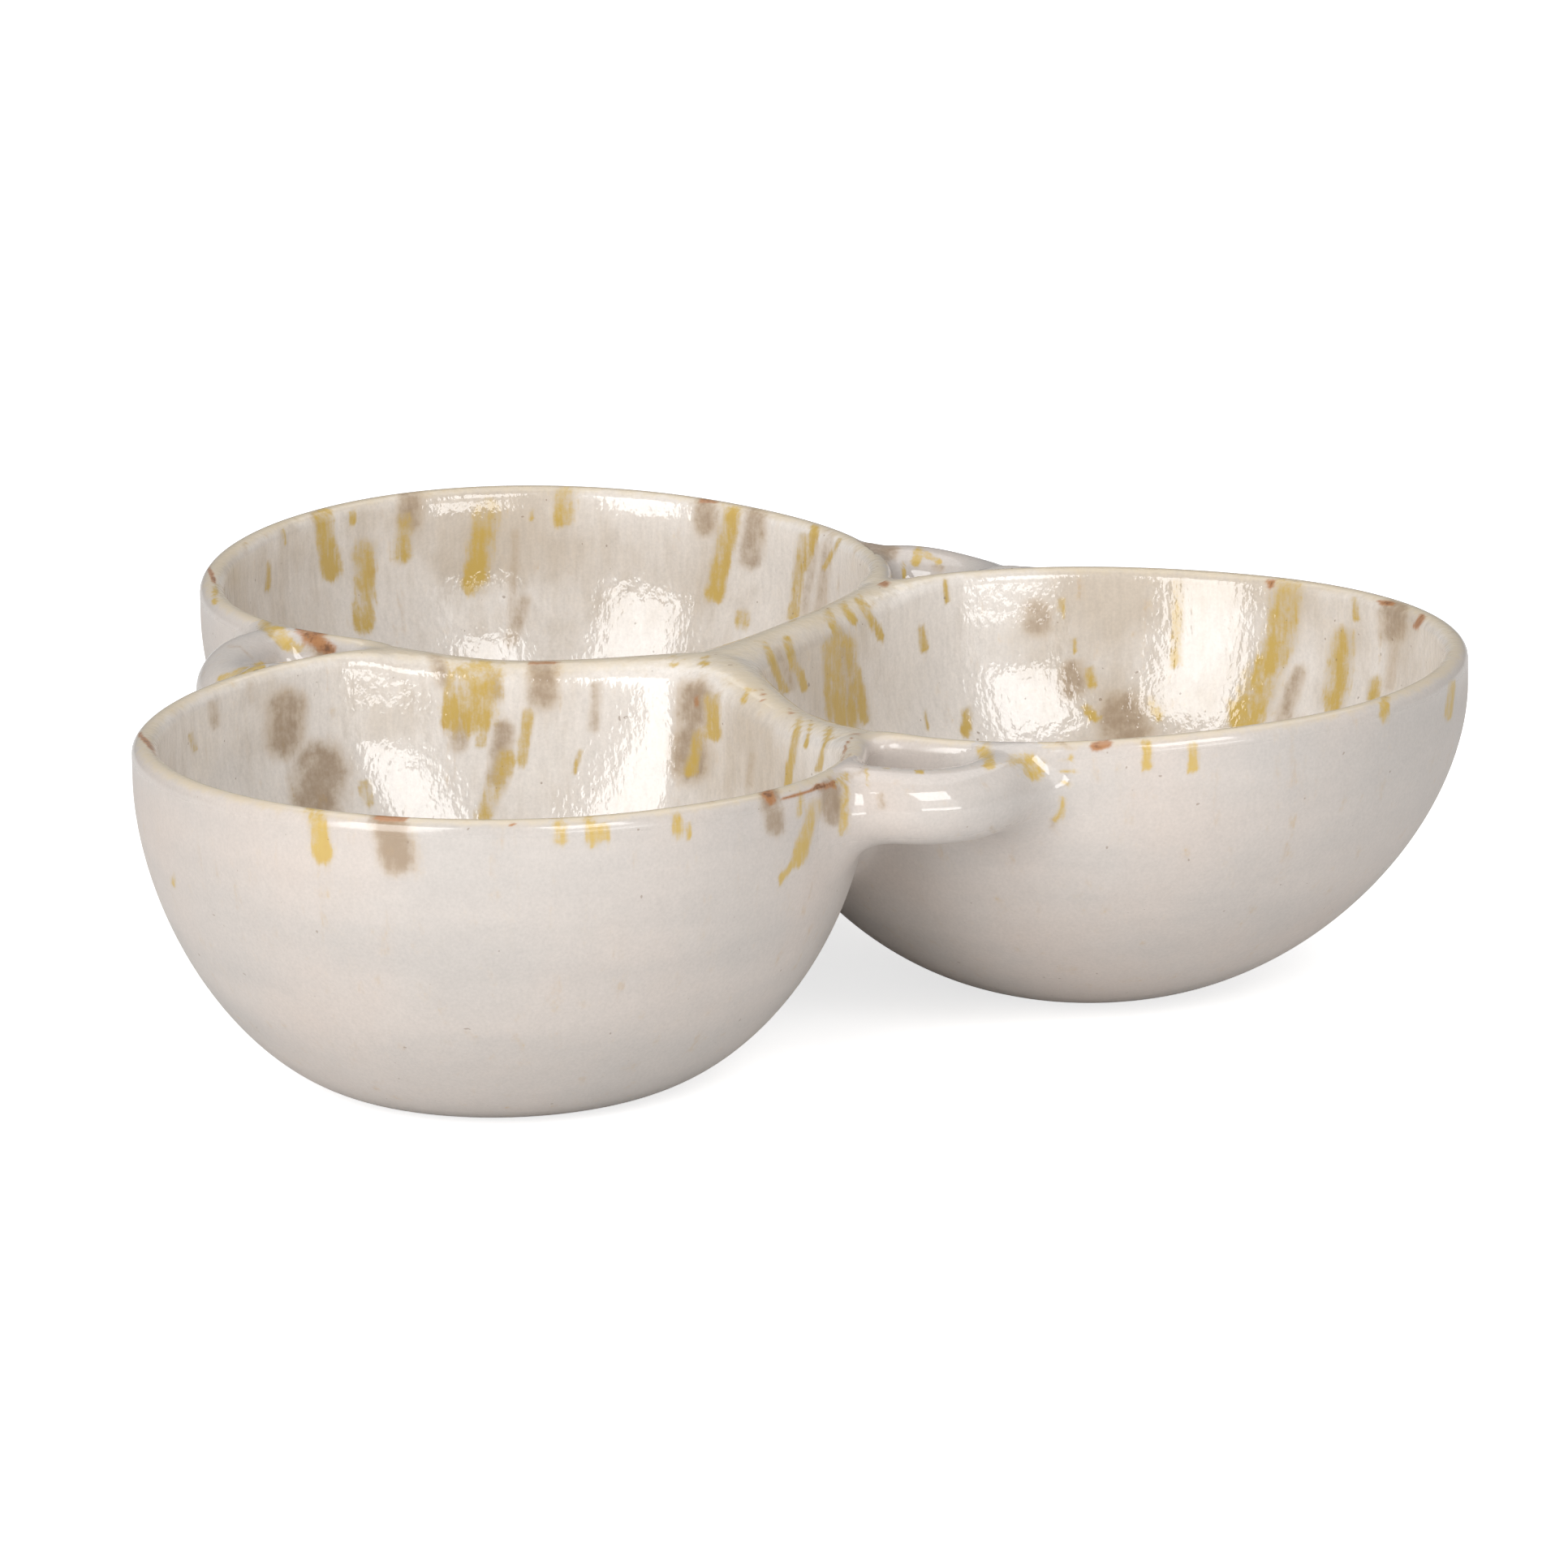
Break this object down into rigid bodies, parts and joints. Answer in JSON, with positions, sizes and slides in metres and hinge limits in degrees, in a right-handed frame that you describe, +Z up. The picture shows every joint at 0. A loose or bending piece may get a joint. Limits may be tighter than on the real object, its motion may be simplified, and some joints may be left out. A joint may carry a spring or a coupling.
{
  "type": "divided serving bowl",
  "caption": "Trefoil serving bowl: round glazed stoneware bowls joined along dipped shared walls, with a short loop handle across each notch, for serving dips and snacks side by side.",
  "frame": {"origin": "on the table plane, under the middle of the outline seen from above", "axes": "+Z up, +X from the middle of the trefoil towards the right bowl, +Y towards the back bowl"},
  "size_m": [0.2442, 0.2574, 0.0679],
  "materials": {
    "glaze": "pale warm grey reactive glaze with yellow ochre and brown streaks, glossy inside and satin outside"
  },
  "bodies": {
    "root": {"right_bowl": "glaze", "back_bowl": "glaze", "front_bowl": "glaze", "back_handle": "glaze", "left_handle": "glaze", "front_handle": "glaze"}
  },
  "joints": []
}
